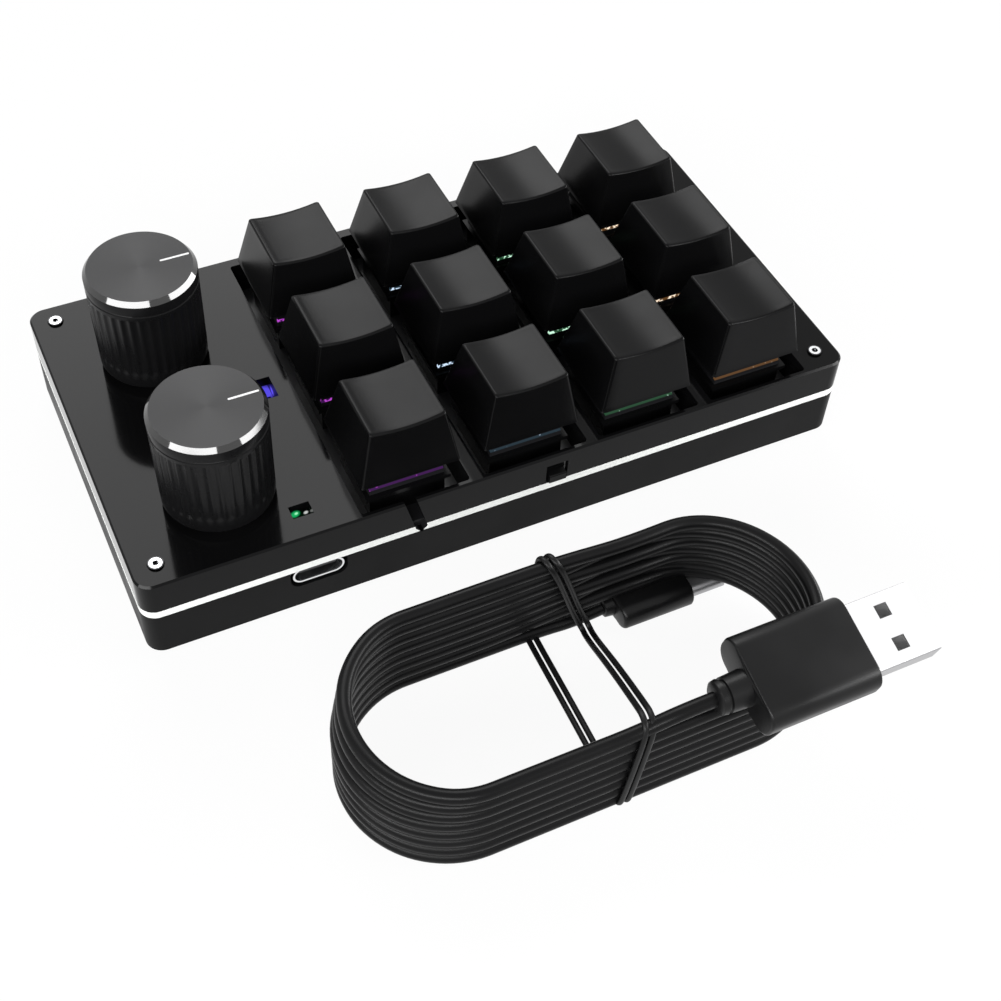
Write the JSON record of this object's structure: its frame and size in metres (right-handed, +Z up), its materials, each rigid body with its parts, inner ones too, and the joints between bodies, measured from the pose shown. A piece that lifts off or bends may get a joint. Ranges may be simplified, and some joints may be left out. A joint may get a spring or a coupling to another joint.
{
  "type": "macro keypad",
  "caption": "Desk macro keypad with tall keys in lit wells, push-and-turn knobs, a gloss frame over a white-edged board, and its coiled cable.",
  "frame": {"origin": "under the middle of the case, on the surface that the feet stand on", "axes": "+X along the key rows away from the knobs, +Y from the cable side to the back, +Z up"},
  "size_m": [0.1352, 0.1345, 0.0406],
  "materials": {
    "gloss_frame": "high gloss black",
    "black_shell": "fine matt black",
    "board": "white edge, black faces",
    "keycap_black": "satin black",
    "switch_black": "satin black",
    "switch_clear": "clear",
    "switch_stem": "moulded",
    "knob_black": "black anodised",
    "steel": "plated",
    "rubber": "matt",
    "cable": "satin",
    "light": "glowing",
    "chip": "moulded"
  },
  "bodies": {
    "case": {"lower_shell": "black_shell", "circuit_board": "board", "top_frame": "gloss_frame", "case_screws": "steel", "feet": "rubber", "key_lights": "light", "switch_sockets": "chip", "switch_bases": "switch_black", "switch_covers": "switch_clear", "encoder_bodies": "steel", "encoder_washers": "steel", "encoder_nuts": "steel", "status_lights": "light", "side_button_body": "switch_black", "usb_port_shell": "steel", "usb_port_tongue": "chip", "board_chips": "chip", "cable_coil": "cable", "cable_tail": "cable", "usb_c_plug_grip": "cable", "usb_c_plug_shell": "steel", "usb_a_plug_grip": "cable", "usb_a_plug_shell": "steel", "usb_a_plug_insert": "chip", "cable_tie": "rubber"},
    "key_01": {"switch_stem_01": "switch_stem", "keycap_01": "keycap_black"},
    "key_02": {"switch_stem_02": "switch_stem", "keycap_02": "keycap_black"},
    "key_03": {"switch_stem_03": "switch_stem", "keycap_03": "keycap_black"},
    "key_04": {"switch_stem_04": "switch_stem", "keycap_04": "keycap_black"},
    "key_05": {"switch_stem_05": "switch_stem", "keycap_05": "keycap_black"},
    "key_06": {"switch_stem_06": "switch_stem", "keycap_06": "keycap_black"},
    "key_07": {"switch_stem_07": "switch_stem", "keycap_07": "keycap_black"},
    "key_08": {"switch_stem_08": "switch_stem", "keycap_08": "keycap_black"},
    "key_09": {"switch_stem_09": "switch_stem", "keycap_09": "keycap_black"},
    "key_10": {"switch_stem_10": "switch_stem", "keycap_10": "keycap_black"},
    "key_11": {"switch_stem_11": "switch_stem", "keycap_11": "keycap_black"},
    "key_12": {"switch_stem_12": "switch_stem", "keycap_12": "keycap_black"},
    "knob_1_push": {"encoder_plunger_1": "chip"},
    "knob_1": {"encoder_shaft_1": "steel", "knob_core_1": "chip", "knob_shell_1": "knob_black"},
    "knob_2_push": {"encoder_plunger_2": "chip"},
    "knob_2": {"encoder_shaft_2": "steel", "knob_core_2": "chip", "knob_shell_2": "knob_black"},
    "side_button": {"side_button_nub": "switch_black"}
  },
  "joints": [
    {"name": "key_01_press", "type": "slide", "parent": "case", "child": "key_01", "axis": [0, 0, -1], "range_m": [0, 0.004], "stiffness_N_per_m": 110, "springref_m": -0.003},
    {"name": "key_02_press", "type": "slide", "parent": "case", "child": "key_02", "axis": [0, 0, -1], "range_m": [0, 0.004], "stiffness_N_per_m": 110, "springref_m": -0.003},
    {"name": "key_03_press", "type": "slide", "parent": "case", "child": "key_03", "axis": [0, 0, -1], "range_m": [0, 0.004], "stiffness_N_per_m": 110, "springref_m": -0.003},
    {"name": "key_04_press", "type": "slide", "parent": "case", "child": "key_04", "axis": [0, 0, -1], "range_m": [0, 0.004], "stiffness_N_per_m": 110, "springref_m": -0.003},
    {"name": "key_05_press", "type": "slide", "parent": "case", "child": "key_05", "axis": [0, 0, -1], "range_m": [0, 0.004], "stiffness_N_per_m": 110, "springref_m": -0.003},
    {"name": "key_06_press", "type": "slide", "parent": "case", "child": "key_06", "axis": [0, 0, -1], "range_m": [0, 0.004], "stiffness_N_per_m": 110, "springref_m": -0.003},
    {"name": "key_07_press", "type": "slide", "parent": "case", "child": "key_07", "axis": [0, 0, -1], "range_m": [0, 0.004], "stiffness_N_per_m": 110, "springref_m": -0.003},
    {"name": "key_08_press", "type": "slide", "parent": "case", "child": "key_08", "axis": [0, 0, -1], "range_m": [0, 0.004], "stiffness_N_per_m": 110, "springref_m": -0.003},
    {"name": "key_09_press", "type": "slide", "parent": "case", "child": "key_09", "axis": [0, 0, -1], "range_m": [0, 0.004], "stiffness_N_per_m": 110, "springref_m": -0.003},
    {"name": "key_10_press", "type": "slide", "parent": "case", "child": "key_10", "axis": [0, 0, -1], "range_m": [0, 0.004], "stiffness_N_per_m": 110, "springref_m": -0.003},
    {"name": "key_11_press", "type": "slide", "parent": "case", "child": "key_11", "axis": [0, 0, -1], "range_m": [0, 0.004], "stiffness_N_per_m": 110, "springref_m": -0.003},
    {"name": "key_12_press", "type": "slide", "parent": "case", "child": "key_12", "axis": [0, 0, -1], "range_m": [0, 0.004], "stiffness_N_per_m": 110, "springref_m": -0.003},
    {"name": "knob_1_press", "type": "slide", "parent": "case", "child": "knob_1_push", "axis": [0, 0, -1], "range_m": [0, 0.0005], "stiffness_N_per_m": 1500, "springref_m": -0.001},
    {"name": "knob_1_turn", "type": "hinge", "parent": "knob_1_push", "child": "knob_1", "pos_m": [-0.049, 0.0155, 0.0206], "axis": [0, 0, 1], "continuous": true},
    {"name": "knob_2_press", "type": "slide", "parent": "case", "child": "knob_2_push", "axis": [0, 0, -1], "range_m": [0, 0.0005], "stiffness_N_per_m": 1500, "springref_m": -0.001},
    {"name": "knob_2_turn", "type": "hinge", "parent": "knob_2_push", "child": "knob_2", "pos_m": [-0.049, -0.0205, 0.0206], "axis": [0, 0, 1], "continuous": true},
    {"name": "side_button_press", "type": "slide", "parent": "case", "child": "side_button", "axis": [0, 1, 0], "range_m": [0, 0.00025], "stiffness_N_per_m": 400, "springref_m": -0.0005}
  ]
}
